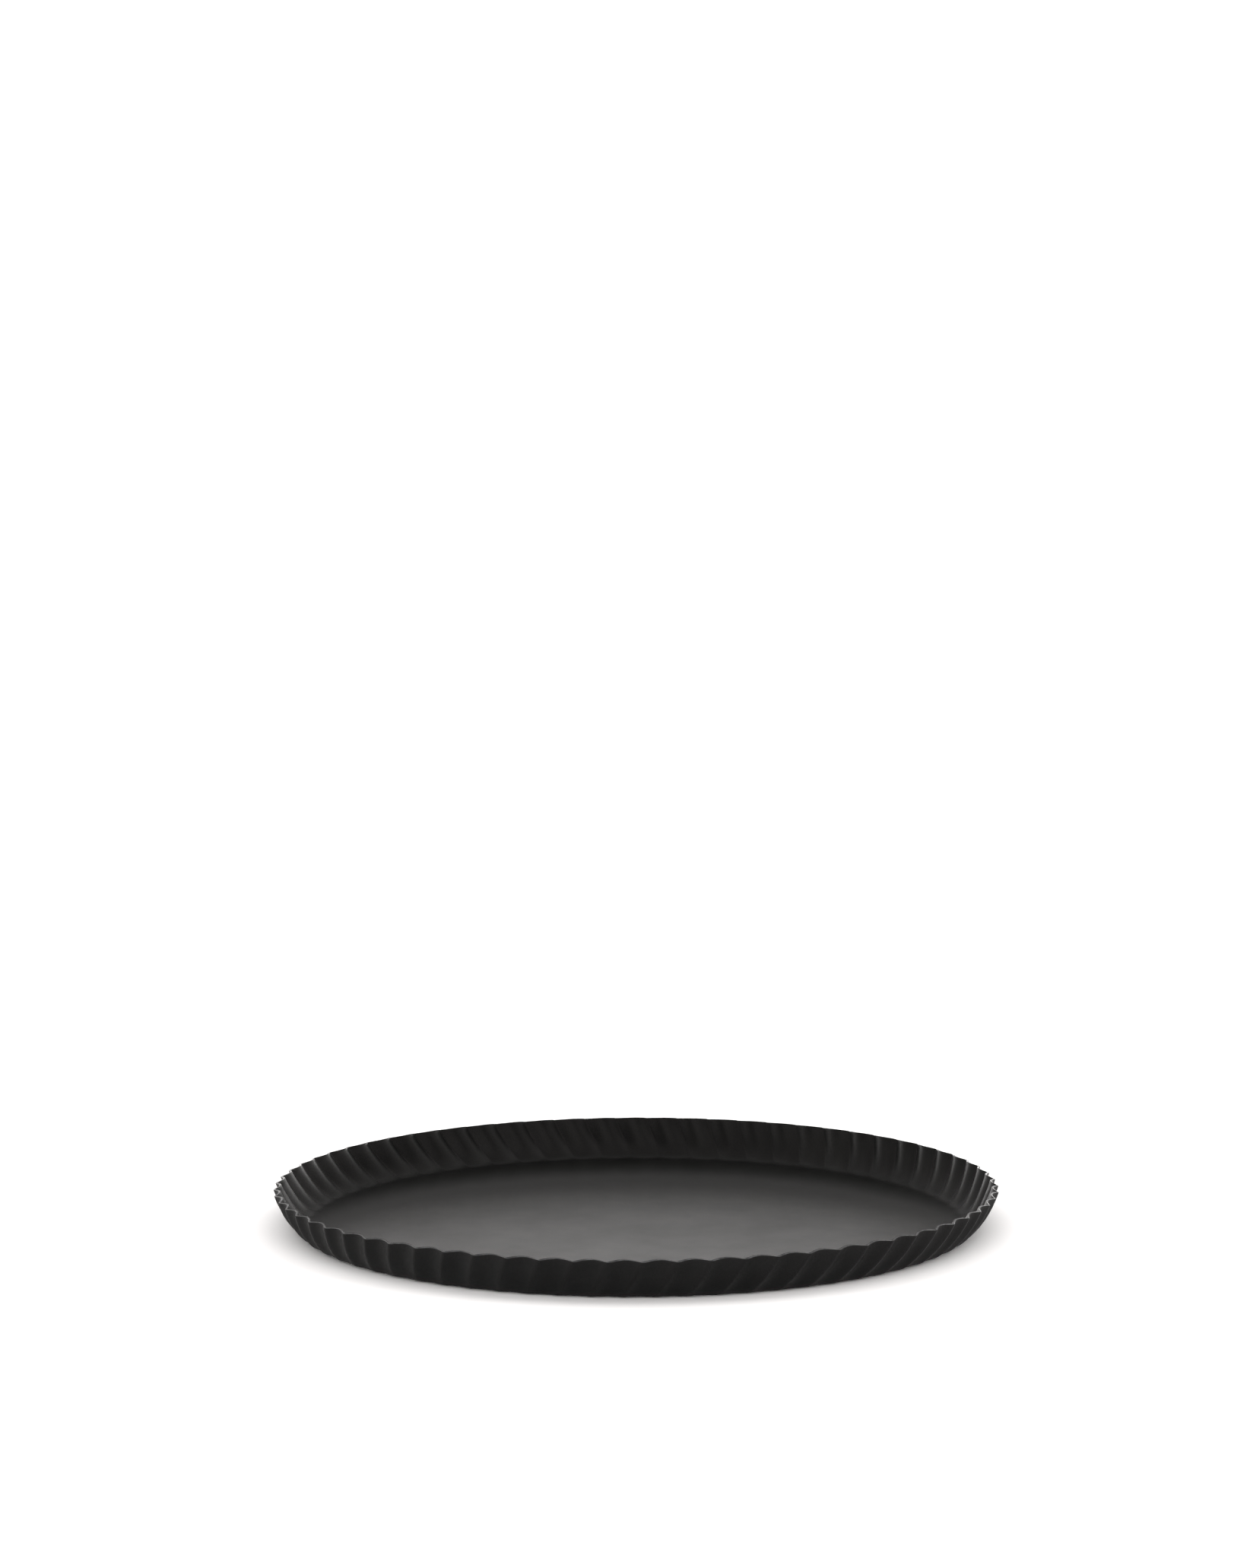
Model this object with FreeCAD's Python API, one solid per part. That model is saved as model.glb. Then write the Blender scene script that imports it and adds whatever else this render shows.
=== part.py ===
import FreeCAD, Part
import math
import os

# A one-piece fluted tart pan: a flat round floor and a low flared wall, pressed from a single
# steel sheet and coated black on both sides. Three layers lie face to face:
#   underside_coating   the outside and underside coat
#   steel_pressing      the pressed sheet, bare only on the cut edge of the rim
#   baking_side_coating the coat on the side that holds the pastry
# Millimetres, +Z up. The origin is the middle of the underside. -Y is the front.

SIZES = [
    ("rim_diameter", 320.0, "across the outward ridges at the rim, outside"),
    ("rim_height", 17.7, "height of the outward ridges at the rim, outside"),
    ("rim_slope", 18.0, "degrees from vertical of the wall at the rim"),
    ("foot_slope", 48.0, "degrees from vertical of the wall where the corner begins"),
    ("corner_radius", 8.0, "outside radius between wall and floor"),
    ("runout", 3.0, "width of the floor's edge over which the flutes die away"),
    ("rim_trim", 0.2, "how much lower along the wall the rim is cut between ridges"),
    ("flute_count", 69, "flutes round the rim"),
    ("flute_depth", 2.35, "how far a flute bulges inward at the rim"),
    ("flute_roundness", 0.13, "share of the depth rounded off at each ridge"),
    ("flute_fade_start", 5.0, "distance down the wall where the flutes begin to die away"),
    ("flute_lean", 4.1, "degrees that each flute turns on its way from rim to floor"),
    ("ridge_angle", 0.9, "degrees from the front to the first ridge at the rim"),
    ("steel_thickness", 0.7, "pressed sheet"),
    ("coat_thickness", 0.15, "each coat"),
]

# How finely the surfaces of one flute are laid out.
STEPS_DOWN_BOW = 9
STEPS_ROUND_CORNER = 7
STEPS_ALONG_RUNOUT = 5
POINTS_ACROSS = 17
RIDGE_CROWDING = 0.7
SMALL_STEP = 1e-4
SEWING_TOLERANCE = 1e-4

doc = FreeCAD.newDocument("tart_pan")
sheet = doc.addObject("Spreadsheet::Sheet", "Sizes")


def fill_sheet():
    """Write every driving size to the sheet: value, alias and meaning."""
    for row, (alias, value, meaning) in enumerate(SIZES, start=1):
        cell = "B%d" % row
        sheet.set("A%d" % row, alias)
        sheet.set(cell, str(value))
        sheet.set("C%d" % row, meaning)
        sheet.setAlias(cell, alias)
    doc.recompute()


def size(alias):
    return float(sheet.get(alias))


class Meridian:
    """The outside outline through the ridges, from the rim (distance 0) in to the flat floor.

    A long bowed arc, then the corner arc, then the flat run-out, each tangent to the next.
    The slope is the angle between the outline and the vertical.
    """

    def __init__(self):
        self.rim_slope = math.radians(size("rim_slope"))
        self.foot_slope = math.radians(size("foot_slope"))
        self.rim_radius = size("rim_diameter") / 2
        self.rim_height = size("rim_height")
        self.corner_radius = size("corner_radius")
        corner_height = self.corner_radius * (1 - math.sin(self.foot_slope))
        bow = math.sin(self.foot_slope) - math.sin(self.rim_slope)
        self.bow_radius = (self.rim_height - corner_height) / bow
        self.bow_length = self.bow_radius * (self.foot_slope - self.rim_slope)
        self.corner_length = self.corner_radius * (math.pi / 2 - self.foot_slope)
        self.length = self.bow_length + self.corner_length + size("runout")

    def arc(self, start, radius, slope_from, slope_to):
        """Where an arc that starts at (radius, height) ends."""
        out = start[0] - radius * (math.cos(slope_from) - math.cos(slope_to))
        up = start[1] - radius * (math.sin(slope_to) - math.sin(slope_from))
        return out, up

    def at(self, distance):
        """Radius, height and slope at a distance along the outline."""
        rim = (self.rim_radius, self.rim_height)
        if distance <= self.bow_length:
            slope = self.rim_slope + distance / self.bow_radius
            radius, height = self.arc(rim, self.bow_radius, self.rim_slope, slope)
            return radius, height, slope
        foot = self.arc(rim, self.bow_radius, self.rim_slope, self.foot_slope)
        past_bow = distance - self.bow_length
        if past_bow <= self.corner_length:
            slope = self.foot_slope + past_bow / self.corner_radius
            radius, height = self.arc(foot, self.corner_radius, self.foot_slope, slope)
            return radius, height, slope
        edge = self.arc(foot, self.corner_radius, self.foot_slope, math.pi / 2)
        return edge[0] - (past_bow - self.corner_length), 0.0, math.pi / 2


fill_sheet()
outline = Meridian()
FLUTES = int(size("flute_count"))
PITCH = 2 * math.pi / FLUTES
FIRST_RIDGE = math.radians(size("ridge_angle"))
LEAN = math.radians(size("flute_lean"))
DEPTH = size("flute_depth")
TRIM = size("rim_trim")
ROUNDNESS = size("flute_roundness")
FADE_START = size("flute_fade_start")
COAT = size("coat_thickness")
HALF_SHEET = size("steel_thickness") / 2
HALF_WALL = HALF_SHEET + COAT


def flute_wave(turn):
    """How far a flute bulges inward: 0 at its ridges (turn 0 and 1), 1 halfway between them."""
    bulge = math.hypot(math.sin(math.pi * turn), ROUNDNESS) - ROUNDNESS
    return bulge / (math.hypot(1, ROUNDNESS) - ROUNDNESS)


def flute_strength(distance):
    """1 at the rim, easing to 0 where the flutes end on the floor."""
    step = (distance - FADE_START) / (outline.length - FADE_START)
    step = min(max(step, 0.0), 1.0)
    return 1 - step * step * (3 - 2 * step)


def mid_point(distance, turn):
    """A point halfway through the wall, a distance below the rim and a share round a flute."""
    distance += TRIM * flute_wave(turn) * (1 - distance / outline.length)
    radius, height, slope = outline.at(distance)
    inward = HALF_WALL + DEPTH * flute_strength(distance) * flute_wave(turn)
    radius -= inward * math.cos(slope)
    height += inward * math.sin(slope)
    angle = FIRST_RIDGE + turn * PITCH - LEAN * distance / outline.length
    return FreeCAD.Vector(radius * math.sin(angle), -radius * math.cos(angle), height)


def wall_point(distance, turn, outward):
    """The same point moved outward, square to the wall."""
    down = mid_point(distance + SMALL_STEP, turn) - mid_point(distance - SMALL_STEP, turn)
    across = mid_point(distance, turn + SMALL_STEP) - mid_point(distance, turn - SMALL_STEP)
    normal = down.cross(across)
    normal.normalize()
    return mid_point(distance, turn) + normal * outward


def spread(share):
    """Even steps from 0 to 1 moved closer together near 0.5, where the ridge is."""
    return share + RIDGE_CROWDING * math.sin(2 * math.pi * share) / (2 * math.pi)


def distances_down():
    """Where the rows of points lie along the outline, closest together round the corner."""
    stretches = [
        (outline.bow_length, STEPS_DOWN_BOW),
        (outline.corner_length, STEPS_ROUND_CORNER),
        (size("runout"), STEPS_ALONG_RUNOUT),
    ]
    distances = [0.0]
    for length, steps in stretches:
        start = distances[-1]
        distances += [start + length * (step + 1) / steps for step in range(steps)]
    return distances


def flute_patch(outward):
    """The surface of one flute, from the middle of one bulge over a ridge to the next."""
    grid = []
    for distance in distances_down():
        row = []
        for across in range(POINTS_ACROSS):
            turn = spread(across / (POINTS_ACROSS - 1)) - 0.5
            row.append(wall_point(distance, turn, outward))
        grid.append(row)
    surface = Part.BSplineSurface()
    surface.interpolate(grid)
    return surface


def ring(face):
    """The same face once for each flute."""
    faces = []
    for number in range(FLUTES):
        copy = face.copy()
        copy.rotate(FreeCAD.Vector(), FreeCAD.Vector(0, 0, 1), math.degrees(PITCH) * number)
        faces.append(copy)
    return faces


def end_edge(surface, distance_share):
    """The edge of a flute's surface at the rim (share 0) or at the floor (share 1)."""
    first, last = surface.bounds()[0:2]
    return surface.uIso(first + (last - first) * distance_share).toShape()


def floor_disc(surface):
    """The flat face that closes a layer's surface inside the flutes."""
    edge = end_edge(surface, 1)
    wire = Part.Wire(Part.__sortEdges__(ring(edge)))
    return Part.Face(wire)


def layer(inner, outer):
    """The closed solid between two distances from the middle of the wall."""
    outside = flute_patch(outer)
    inside = flute_patch(inner)
    rim = Part.makeRuledSurface(end_edge(outside, 0), end_edge(inside, 0))
    faces = ring(outside.toShape()) + ring(inside.toShape()) + ring(rim)
    faces += [floor_disc(outside), floor_disc(inside)]
    shell = Part.Compound(faces)
    shell.sewShape(SEWING_TOLERANCE)
    solid = Part.makeSolid(shell.Shells[0])
    if solid.Volume < 0:
        solid.reverse()
    return solid


def add_layer(name, inner, outer):
    """Put a layer in the document as a sub-part of its own."""
    part = doc.addObject("Part::Feature", name)
    part.Label = name
    part.Shape = layer(inner, outer)
    part.Placement = FreeCAD.Placement()
    return part


layers = [
    add_layer("underside_coating", HALF_SHEET, HALF_WALL),
    add_layer("steel_pressing", -HALF_SHEET, HALF_SHEET),
    add_layer("baking_side_coating", -HALF_WALL, -HALF_SHEET),
]

doc.recompute()
for item in doc.Objects:
    if "Invalid" in item.State or "Error" in item.State:
        raise RuntimeError(item.Label + " did not compute")

os.makedirs("parts", exist_ok=True)
for part in layers:
    if part.Shape.isNull() or not part.Shape.isValid() or len(part.Shape.Solids) != 1:
        raise RuntimeError(part.Label + " is not a sound solid")
    part.Shape.exportStep(os.path.join("parts", part.Label + ".step"))
    box = part.Shape.BoundBox
    print(part.Label, "volume %.1f mm3" % part.Shape.Volume, "size %.2f x %.2f x %.2f mm"
          % (box.XLength, box.YLength, box.ZLength), "lowest %.3f" % box.ZMin)
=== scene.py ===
import math

import bpy
import numpy as np
from mathutils import Matrix, Vector


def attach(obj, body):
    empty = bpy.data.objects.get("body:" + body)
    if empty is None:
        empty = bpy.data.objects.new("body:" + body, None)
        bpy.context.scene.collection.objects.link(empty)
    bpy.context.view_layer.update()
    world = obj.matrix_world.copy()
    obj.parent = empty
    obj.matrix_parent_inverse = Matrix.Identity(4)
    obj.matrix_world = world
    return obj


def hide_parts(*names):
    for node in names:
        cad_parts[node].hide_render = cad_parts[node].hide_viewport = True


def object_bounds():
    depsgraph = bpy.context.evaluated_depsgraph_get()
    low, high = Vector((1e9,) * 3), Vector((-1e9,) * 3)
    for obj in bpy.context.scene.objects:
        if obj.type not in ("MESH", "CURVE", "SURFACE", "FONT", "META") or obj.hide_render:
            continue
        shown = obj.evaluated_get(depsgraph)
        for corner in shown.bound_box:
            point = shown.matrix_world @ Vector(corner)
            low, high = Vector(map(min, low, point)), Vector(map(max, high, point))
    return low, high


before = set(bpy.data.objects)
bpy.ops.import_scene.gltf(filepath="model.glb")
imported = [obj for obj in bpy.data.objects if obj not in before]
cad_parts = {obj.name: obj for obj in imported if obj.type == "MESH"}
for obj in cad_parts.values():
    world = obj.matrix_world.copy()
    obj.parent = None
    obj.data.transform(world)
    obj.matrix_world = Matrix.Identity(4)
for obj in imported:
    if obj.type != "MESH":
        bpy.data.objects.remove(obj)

# A one-piece fluted tart pan on a round white table. The three layers of the CAD frame (underside coat,
# pressed steel, baking-side coat) are replaced by fine meshes worked out from the same outline.
# Metres, +Z up, -Y is the front.

CAD_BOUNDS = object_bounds()

# ---------------------------------------------------------------------------
# Sizes, as in the CAD model
# ---------------------------------------------------------------------------
MM = 0.001
RIM_RADIUS = 160.0 * MM
RIM_HEIGHT = 17.7 * MM
RIM_SLOPE = math.radians(18.0)
FOOT_SLOPE = math.radians(48.0)
CORNER_RADIUS = 8.0 * MM
RUNOUT = 3.0 * MM
RIM_TRIM = 0.2 * MM
FLUTES = 69
FLUTE_DEPTH = 2.35 * MM
FLUTE_ROUNDNESS = 0.13
FADE_START = 5.0 * MM
FLUTE_LEAN = math.radians(4.1)
RIDGE_ANGLE = math.radians(0.9)
STEEL_THICKNESS = 0.7 * MM
COAT_THICKNESS = 0.15 * MM

PITCH = 2 * math.pi / FLUTES
HALF_SHEET = STEEL_THICKNESS / 2
HALF_WALL = HALF_SHEET + COAT_THICKNESS

CORNER_HEIGHT = CORNER_RADIUS * (1 - math.sin(FOOT_SLOPE))
BOW_RADIUS = (RIM_HEIGHT - CORNER_HEIGHT) / (math.sin(FOOT_SLOPE) - math.sin(RIM_SLOPE))
BOW_LENGTH = BOW_RADIUS * (FOOT_SLOPE - RIM_SLOPE)
CORNER_LENGTH = CORNER_RADIUS * (math.pi / 2 - FOOT_SLOPE)
OUTLINE_LENGTH = BOW_LENGTH + CORNER_LENGTH + RUNOUT

# How fine the meshes are.
COLUMNS_PER_FLUTE = 18
RIDGE_CROWDING = 0.6
ROWS_DOWN_BOW = 16
ROWS_ROUND_CORNER = 10
ROWS_ALONG_RUNOUT = 5
FLOOR_RINGS = 4
FLOOR_CENTRE = 2.0 * MM
SMALL_STEP = 1e-7
SMALL_TURN = 1e-4
EDGE_ROUNDING = 0.09 * MM
EDGE_STEPS = 3


# ---------------------------------------------------------------------------
# The shape of the wall
# ---------------------------------------------------------------------------
def outline(distance):
    """Radius, height and slope from vertical, a distance from the rim along the outside."""
    slope = RIM_SLOPE + np.minimum(distance, BOW_LENGTH) / BOW_RADIUS
    radius = RIM_RADIUS - BOW_RADIUS * (math.cos(RIM_SLOPE) - np.cos(slope))
    height = RIM_HEIGHT - BOW_RADIUS * (np.sin(slope) - math.sin(RIM_SLOPE))
    turned = np.clip(distance - BOW_LENGTH, 0, CORNER_LENGTH) / CORNER_RADIUS
    flat = np.maximum(distance - BOW_LENGTH - CORNER_LENGTH, 0)
    corner_slope = FOOT_SLOPE + turned
    radius = radius - CORNER_RADIUS * (math.cos(FOOT_SLOPE) - np.cos(corner_slope)) - flat
    height = height - CORNER_RADIUS * (np.sin(corner_slope) - math.sin(FOOT_SLOPE))
    return radius, height, slope + turned


def flute_wave(turn):
    """How far a flute bulges inward: 0 at its ridges, 1 halfway between them."""
    bulge = np.hypot(np.sin(math.pi * turn), FLUTE_ROUNDNESS) - FLUTE_ROUNDNESS
    return bulge / (math.hypot(1, FLUTE_ROUNDNESS) - FLUTE_ROUNDNESS)


def flute_strength(distance):
    """1 at the rim, easing to 0 where the flutes end on the floor."""
    step = np.clip((distance - FADE_START) / (OUTLINE_LENGTH - FADE_START), 0, 1)
    return 1 - step * step * (3 - 2 * step)


def mid_points(distance, turn):
    """Points halfway through the wall."""
    wave = flute_wave(turn)
    distance = distance + RIM_TRIM * wave * (1 - distance / OUTLINE_LENGTH)
    radius, height, slope = outline(distance)
    inward = HALF_WALL + FLUTE_DEPTH * flute_strength(distance) * wave
    radius = radius - inward * np.cos(slope)
    height = height + inward * np.sin(slope)
    angle = RIDGE_ANGLE + turn * PITCH - FLUTE_LEAN * distance / OUTLINE_LENGTH
    return np.stack([radius * np.sin(angle), -radius * np.cos(angle), height], axis=-1)


def wall_points(distance, turn, outward):
    """The same points moved outward, square to the wall."""
    down = mid_points(distance + SMALL_STEP, turn) - mid_points(distance - SMALL_STEP, turn)
    across = mid_points(distance, turn + SMALL_TURN) - mid_points(distance, turn - SMALL_TURN)
    normal = np.cross(down, across)
    normal /= np.linalg.norm(normal, axis=-1, keepdims=True)
    return mid_points(distance, turn) + normal * outward


def row_distances():
    """Distances from the rim of the rows of vertices, closest together round the corner."""
    bow = np.linspace(0, BOW_LENGTH, ROWS_DOWN_BOW, endpoint=False)
    corner = np.linspace(0, CORNER_LENGTH, ROWS_ROUND_CORNER, endpoint=False)
    runout = np.linspace(0, RUNOUT, ROWS_ALONG_RUNOUT)
    return np.concatenate([bow, BOW_LENGTH + corner, BOW_LENGTH + CORNER_LENGTH + runout])


def column_turns():
    """Where the columns lie round the pan, in flutes, crowded towards the ridges."""
    even = np.arange(FLUTES * COLUMNS_PER_FLUTE) / COLUMNS_PER_FLUTE
    return even - RIDGE_CROWDING * np.sin(2 * math.pi * even) / (2 * math.pi)


def rim_edge(outer, inner):
    """(distance, outward) of the rows that round the cut edge over, from the outside inward.

    A coat is too thin for the full rounding, so it takes a third of its thickness.
    """
    rounding = min(EDGE_ROUNDING, (outer - inner) / 3)
    quarter = np.linspace(0, math.pi / 2, EDGE_STEPS + 1)
    rows = []
    for angle in quarter:
        rows.append((rounding * (1 - math.sin(angle)), outer - rounding * (1 - math.cos(angle))))
    for angle in quarter[::-1]:
        rows.append((rounding * (1 - math.sin(angle)), inner + rounding * (1 - math.cos(angle))))
    return rows


def layer_rows(outer, inner):
    """(distance, outward) of every ring of vertices, from the floor outside round to inside."""
    below_edge = [d for d in row_distances() if d > 2 * EDGE_ROUNDING]
    rows = [(distance, outer) for distance in reversed(below_edge)]
    rows += rim_edge(outer, inner)
    rows += [(distance, inner) for distance in below_edge]
    return rows


def floor_rings(start_ring, height):
    """Rings that carry a layer's surface in over the flat floor, to a small centre circle."""
    radii = np.hypot(start_ring[:, 0], start_ring[:, 1])
    rings = []
    for step in range(1, FLOOR_RINGS + 1):
        share = step / FLOOR_RINGS
        scale = (1 - share) + share * FLOOR_CENTRE / radii
        ring = start_ring * scale[:, None]
        ring[:, 2] = height
        rings.append(ring)
    return rings


def layer_mesh(name, outer, inner):
    """A closed mesh between two distances from the middle of the wall."""
    turns = column_turns()
    rings = [wall_points(np.full_like(turns, d), turns, out) for d, out in layer_rows(outer, inner)]
    outside_floor = floor_rings(rings[0], rings[0][0, 2])
    inside_floor = floor_rings(rings[-1], rings[-1][0, 2])
    rings = outside_floor[::-1] + rings + inside_floor
    columns = len(turns)
    vertices = np.concatenate(rings)
    index = np.arange(len(rings) * columns).reshape(len(rings), columns)
    here = index[:-1]
    below = index[1:]
    quads = np.stack([here, np.roll(here, -1, 1), np.roll(below, -1, 1), below], axis=-1)
    faces = quads.reshape(-1, 4).tolist()
    faces.append(index[0][::-1].tolist())
    faces.append(index[-1].tolist())
    mesh = bpy.data.meshes.new(name)
    mesh.from_pydata(vertices.tolist(), [], faces)
    mesh.validate()
    mesh.shade_smooth()
    mesh.update()
    piece = bpy.data.objects.new(name, mesh)
    bpy.context.scene.collection.objects.link(piece)
    return piece


# ---------------------------------------------------------------------------
# Materials
# ---------------------------------------------------------------------------
# Tones are the darkest and lightest linear colours, and roughness is its lowest and highest value.
OUTER_TONES = ((0.004, 0.004, 0.004), (0.006, 0.006, 0.006))
OUTER_ROUGHNESS = (0.44, 0.52)
OUTER_GLOSS = 0.07
BAKING_TONES = ((0.0022, 0.0022, 0.0021), (0.0036, 0.0036, 0.0034))
BAKING_ROUGHNESS = (0.36, 0.40)
BAKING_GLOSS = 0.056
COAT_TINT = (1.0, 0.97, 0.955)
STEEL_TONES = ((0.025, 0.025, 0.025), (0.07, 0.07, 0.072))
STEEL_ROUGHNESS = (0.32, 0.5)
TABLE_COLOUR = (0.8, 0.8, 0.8)

# A noise is its cells per metre, its detail and, where it isn't 0.5, its roughness. A height is the
# relief that a noise makes at full strength.
COAT_TONE_NOISE = (60, 4)
COAT_SHEEN_NOISE = (25, 5, 0.6)
PEEL_NOISE = (900, 2)
PEEL_HEIGHT = 0.04 * MM
PEEL_STRENGTH = 0.25
GRAIN_NOISE = (4200, 2)
GRAIN_HEIGHT = 0.015 * MM
GRAIN_STRENGTH = 0.3
STEEL_TONE_NOISE = (400, 4)
STEEL_SHEEN_NOISE = (900, 3)
STEEL_WEAR_NOISE = (2500, 3)
STEEL_WEAR_HEIGHT = 0.03 * MM
STEEL_WEAR_STRENGTH = 0.4

# The part of a noise's range that is mapped. Values beyond it are rare.
NOISE_LOW = 0.3
NOISE_HIGH = 0.7


class Nodes:
    """A short way to write a node material."""

    def __init__(self, name):
        self.material = bpy.data.materials.new(name)
        self.material.use_nodes = True
        self.tree = self.material.node_tree
        self.shader = self.tree.nodes["Principled BSDF"]
        coordinates = self.tree.nodes.new("ShaderNodeTexCoord")
        self.position = coordinates.outputs["Object"]

    def link(self, output, target):
        self.tree.links.new(output, target)

    def noise(self, scale, detail, roughness=0.5):
        node = self.tree.nodes.new("ShaderNodeTexNoise")
        node.inputs["Scale"].default_value = scale
        node.inputs["Detail"].default_value = detail
        node.inputs["Roughness"].default_value = roughness
        self.link(self.position, node.inputs["Vector"])
        return node.outputs["Fac"]

    def spread(self, value, low, high):
        """Map a noise value to a range."""
        node = self.tree.nodes.new("ShaderNodeMapRange")
        node.inputs["From Min"].default_value = NOISE_LOW
        node.inputs["From Max"].default_value = NOISE_HIGH
        node.inputs["To Min"].default_value = low
        node.inputs["To Max"].default_value = high
        self.link(value, node.inputs["Value"])
        return node.outputs["Result"]

    def ramp(self, value, dark, light):
        """Map a noise value between two colours."""
        node = self.tree.nodes.new("ShaderNodeValToRGB")
        node.color_ramp.elements[0].position = NOISE_LOW
        node.color_ramp.elements[0].color = (*dark, 1)
        node.color_ramp.elements[1].position = NOISE_HIGH
        node.color_ramp.elements[1].color = (*light, 1)
        self.link(value, node.inputs["Fac"])
        return node.outputs["Color"]

    def bump(self, height, distance, strength, after=None):
        """Turn a noise value into fine relief, on top of another relief if one is given."""
        node = self.tree.nodes.new("ShaderNodeBump")
        node.inputs["Distance"].default_value = distance
        node.inputs["Strength"].default_value = strength
        self.link(height, node.inputs["Height"])
        if after:
            self.link(after, node.inputs["Normal"])
        return node.outputs["Normal"]


def coat_material(name, tones, roughness, gloss):
    """Baked-on black coat: a fine grain, a faint orange peel and slightly uneven sheen."""
    nodes = Nodes(name)
    tone = nodes.ramp(nodes.noise(*COAT_TONE_NOISE), *tones)
    sheen = nodes.spread(nodes.noise(*COAT_SHEEN_NOISE), *roughness)
    peel = nodes.bump(nodes.noise(*PEEL_NOISE), PEEL_HEIGHT, PEEL_STRENGTH)
    grain = nodes.bump(nodes.noise(*GRAIN_NOISE), GRAIN_HEIGHT, GRAIN_STRENGTH, after=peel)
    nodes.link(tone, nodes.shader.inputs["Base Color"])
    nodes.link(sheen, nodes.shader.inputs["Roughness"])
    nodes.link(grain, nodes.shader.inputs["Normal"])
    nodes.shader.inputs["Specular IOR Level"].default_value = gloss
    nodes.shader.inputs["Specular Tint"].default_value = (*COAT_TINT, 1)
    return nodes.material


def steel_material():
    """The trimmed edge of the sheet: bare steel dulled in the oven."""
    nodes = Nodes("trimmed_steel")
    tone = nodes.ramp(nodes.noise(*STEEL_TONE_NOISE), *STEEL_TONES)
    sheen = nodes.spread(nodes.noise(*STEEL_SHEEN_NOISE), *STEEL_ROUGHNESS)
    wear = nodes.bump(nodes.noise(*STEEL_WEAR_NOISE), STEEL_WEAR_HEIGHT, STEEL_WEAR_STRENGTH)
    nodes.link(tone, nodes.shader.inputs["Base Color"])
    nodes.link(sheen, nodes.shader.inputs["Roughness"])
    nodes.link(wear, nodes.shader.inputs["Normal"])
    nodes.shader.inputs["Metallic"].default_value = 1.0
    return nodes.material


def table_material():
    """Plain matt white."""
    nodes = Nodes("white_table")
    nodes.shader.inputs["Base Color"].default_value = (*TABLE_COLOUR, 1)
    nodes.shader.inputs["Roughness"].default_value = 1.0
    nodes.shader.inputs["Specular IOR Level"].default_value = 0.0
    return nodes.material


# ---------------------------------------------------------------------------
# The pan
# ---------------------------------------------------------------------------
def add_layer(name, node, outer, inner, material):
    """One layer of the pan, in place of its CAD node."""
    piece = layer_mesh(name, outer, inner)
    piece.data.materials.append(material)
    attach(piece, "root")
    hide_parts(node)


outer_coat = coat_material("outer_coat", OUTER_TONES, OUTER_ROUGHNESS, OUTER_GLOSS)
baking_coat = coat_material("baking_coat", BAKING_TONES, BAKING_ROUGHNESS, BAKING_GLOSS)
add_layer("underside_coat", "underside_coating", HALF_WALL, HALF_SHEET, outer_coat)
add_layer("pressed_steel", "steel_pressing", HALF_SHEET, -HALF_SHEET, steel_material())
add_layer("baking_side_coat", "baking_side_coating", -HALF_SHEET, -HALF_WALL, baking_coat)


# ---------------------------------------------------------------------------
# Table, light and camera
# ---------------------------------------------------------------------------
TABLE_RADIUS = 0.6
TABLE_SIDES = 96

# The world is brightest up to the lower height of the sweep and dim above the upper one. A height
# here is the sine of the angle above the horizon.
LIGHT_COLOUR = (1.0, 0.98, 0.97)
SWEEP_HEIGHTS = (0.0, 0.28)
SWEEP_BRIGHTNESS = 7.5
ROOM_BRIGHTNESS = 0.1

# Name, place, width, depth and power in watts. Each faces the pan.
SOFTBOXES = [
    ("overhead_softbox", (0.0, 0.1, 0.6), 1.0, 0.8, 4.0),
    ("front_softbox", (0.0, -1.3, 1.0), 1.6, 1.2, 19.4),
    ("back_softbox", (0.0, 0.6, 0.34), 1.8, 0.34, 1.9),
    ("left_softbox", (-1.2, 0.1, 0.9), 1.6, 1.4, 9.6),
    ("right_softbox", (1.2, 0.1, 0.9), 1.6, 1.4, 11.4),
]

# The viewpoint of the photograph: low, in front, far away through a long lens. The sensor is in
# millimetres, like the lens.
CAMERA_PLACE = (-0.00376, -2.6134, 0.5484)
CAMERA_PITCH = math.radians(7.66)
CAMERA_ROLL = math.radians(-0.16)
CAMERA_LENS = 138.34
CAMERA_SENSOR = 36.0


def add_table():
    """A round table top at the height of the pan's underside."""
    turns = [2 * math.pi * side / TABLE_SIDES for side in range(TABLE_SIDES)]
    rim = [(TABLE_RADIUS * math.cos(turn), TABLE_RADIUS * math.sin(turn), 0) for turn in turns]
    mesh = bpy.data.meshes.new("table")
    mesh.from_pydata(rim, [], [range(TABLE_SIDES)])
    table = bpy.data.objects.new("table", mesh)
    table.data.materials.append(table_material())
    bpy.context.scene.collection.objects.link(table)
    table.location.z = CAD_BOUNDS[0][2]


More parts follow.
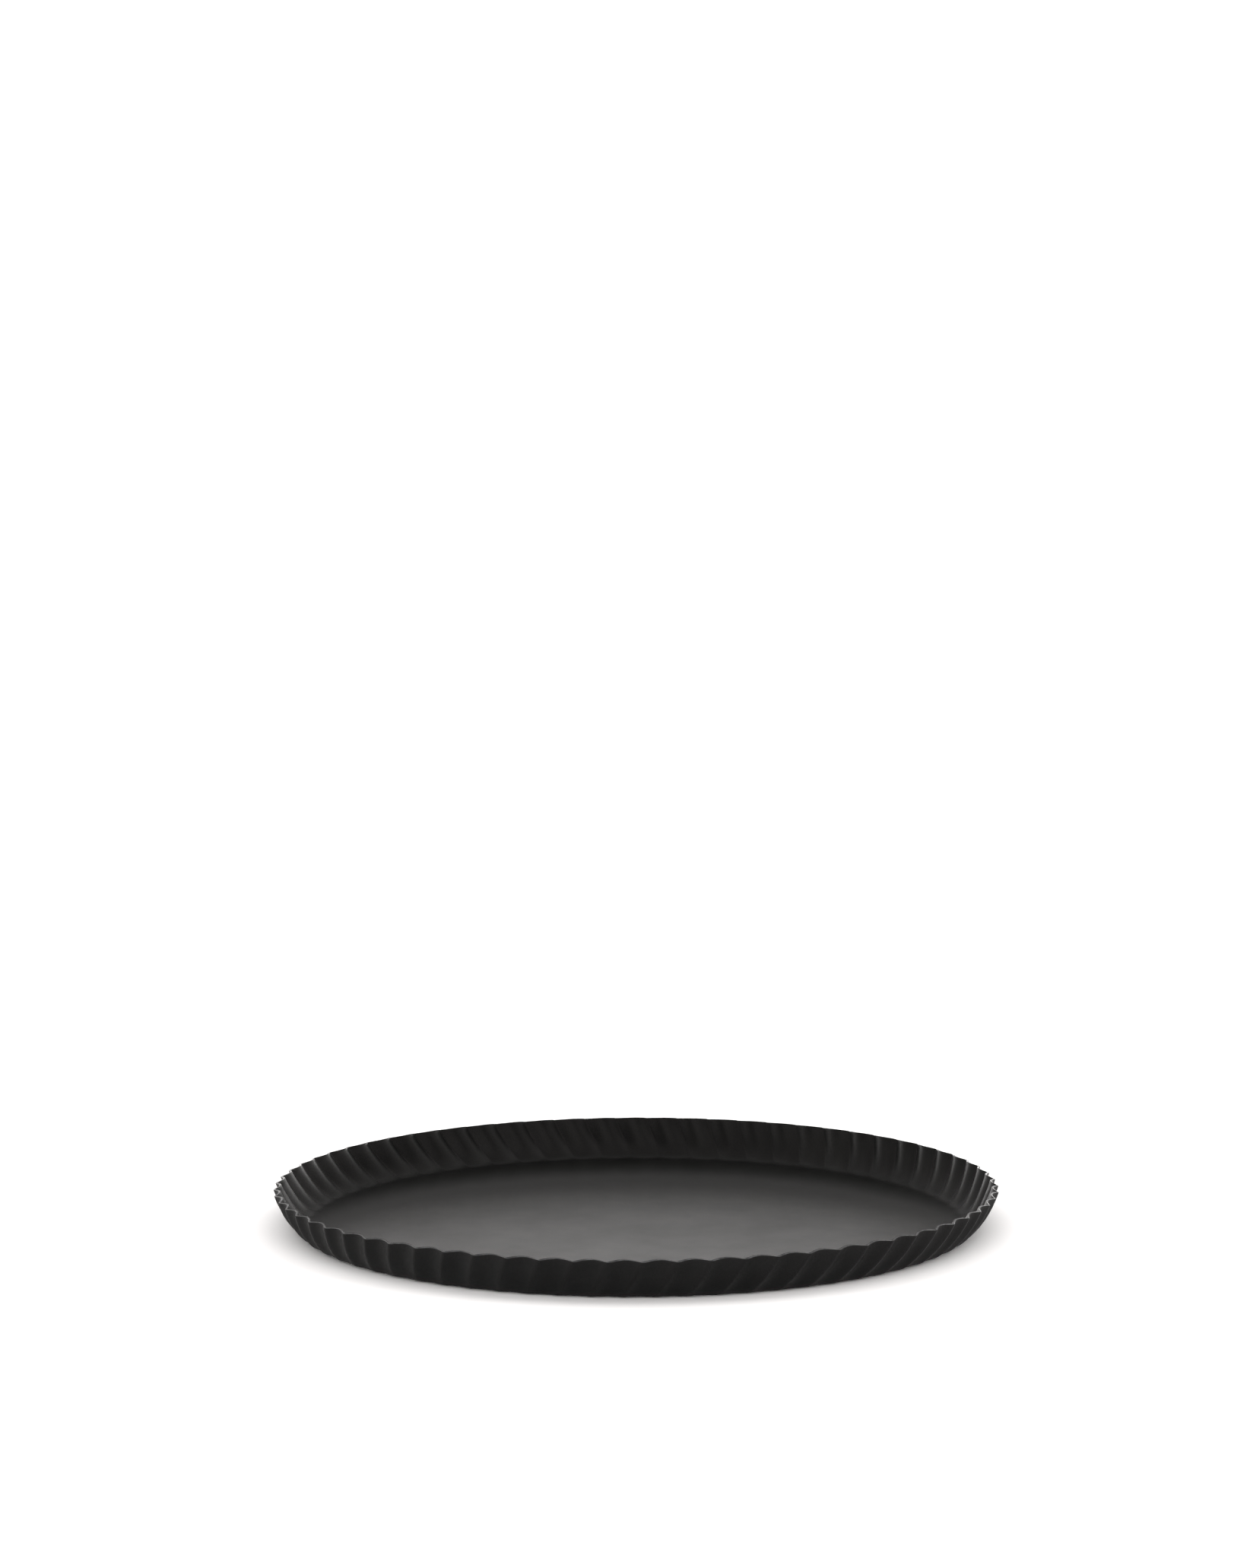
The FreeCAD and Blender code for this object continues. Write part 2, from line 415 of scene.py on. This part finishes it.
def add_world():
    """A white sweep round the horizon under a dim room."""
    world = bpy.data.worlds.new("studio")
    bpy.context.scene.world = world
    world.use_nodes = True
    tree = world.node_tree
    direction = tree.nodes.new("ShaderNodeTexCoord").outputs["Generated"]
    split = tree.nodes.new("ShaderNodeSeparateXYZ")
    tree.links.new(direction, split.inputs["Vector"])
    ramp = tree.nodes.new("ShaderNodeMapRange")
    ramp.interpolation_type = "SMOOTHSTEP"
    ramp.inputs["From Min"].default_value = SWEEP_HEIGHTS[0]
    ramp.inputs["From Max"].default_value = SWEEP_HEIGHTS[1]
    ramp.inputs["To Min"].default_value = SWEEP_BRIGHTNESS
    ramp.inputs["To Max"].default_value = ROOM_BRIGHTNESS
    tree.links.new(split.outputs["Z"], ramp.inputs["Value"])
    tree.links.new(ramp.outputs["Result"], tree.nodes["Background"].inputs["Strength"])
    tree.nodes["Background"].inputs["Color"].default_value = (*LIGHT_COLOUR, 1)


def add_softbox(name, place, width, depth, power):
    """A large soft light that faces the pan."""
    data = bpy.data.lights.new(name, "AREA")
    data.shape = "RECTANGLE"
    data.size = width
    data.size_y = depth
    data.energy = power
    data.color = LIGHT_COLOUR
    light = bpy.data.objects.new(name, data)
    light.location = place
    light.rotation_euler = (-Vector(place)).to_track_quat("-Z", "Y").to_euler()
    light.visible_camera = False
    bpy.context.scene.collection.objects.link(light)


def add_camera():
    """A level camera tipped down by its pitch, then turned about its own axis by its roll."""
    right = Vector((1, 0, 0))
    up = Vector((0, math.sin(CAMERA_PITCH), math.cos(CAMERA_PITCH)))
    forward = Vector((0, math.cos(CAMERA_PITCH), -math.sin(CAMERA_PITCH)))
    tilted_right = right * math.cos(CAMERA_ROLL) + up * math.sin(CAMERA_ROLL)
    tilted_up = up * math.cos(CAMERA_ROLL) - right * math.sin(CAMERA_ROLL)
    turn = Matrix((tilted_right, tilted_up, -forward)).transposed().to_4x4()
    data = bpy.data.cameras.new("camera")
    data.lens = CAMERA_LENS
    data.sensor_width = CAMERA_SENSOR
    camera = bpy.data.objects.new("camera", data)
    camera.matrix_world = Matrix.Translation(CAMERA_PLACE) @ turn
    bpy.context.scene.collection.objects.link(camera)
    bpy.context.scene.camera = camera


add_table()
add_world()
for softbox in SOFTBOXES:
    add_softbox(*softbox)
add_camera()
bpy.context.scene.view_settings.view_transform = "Standard"
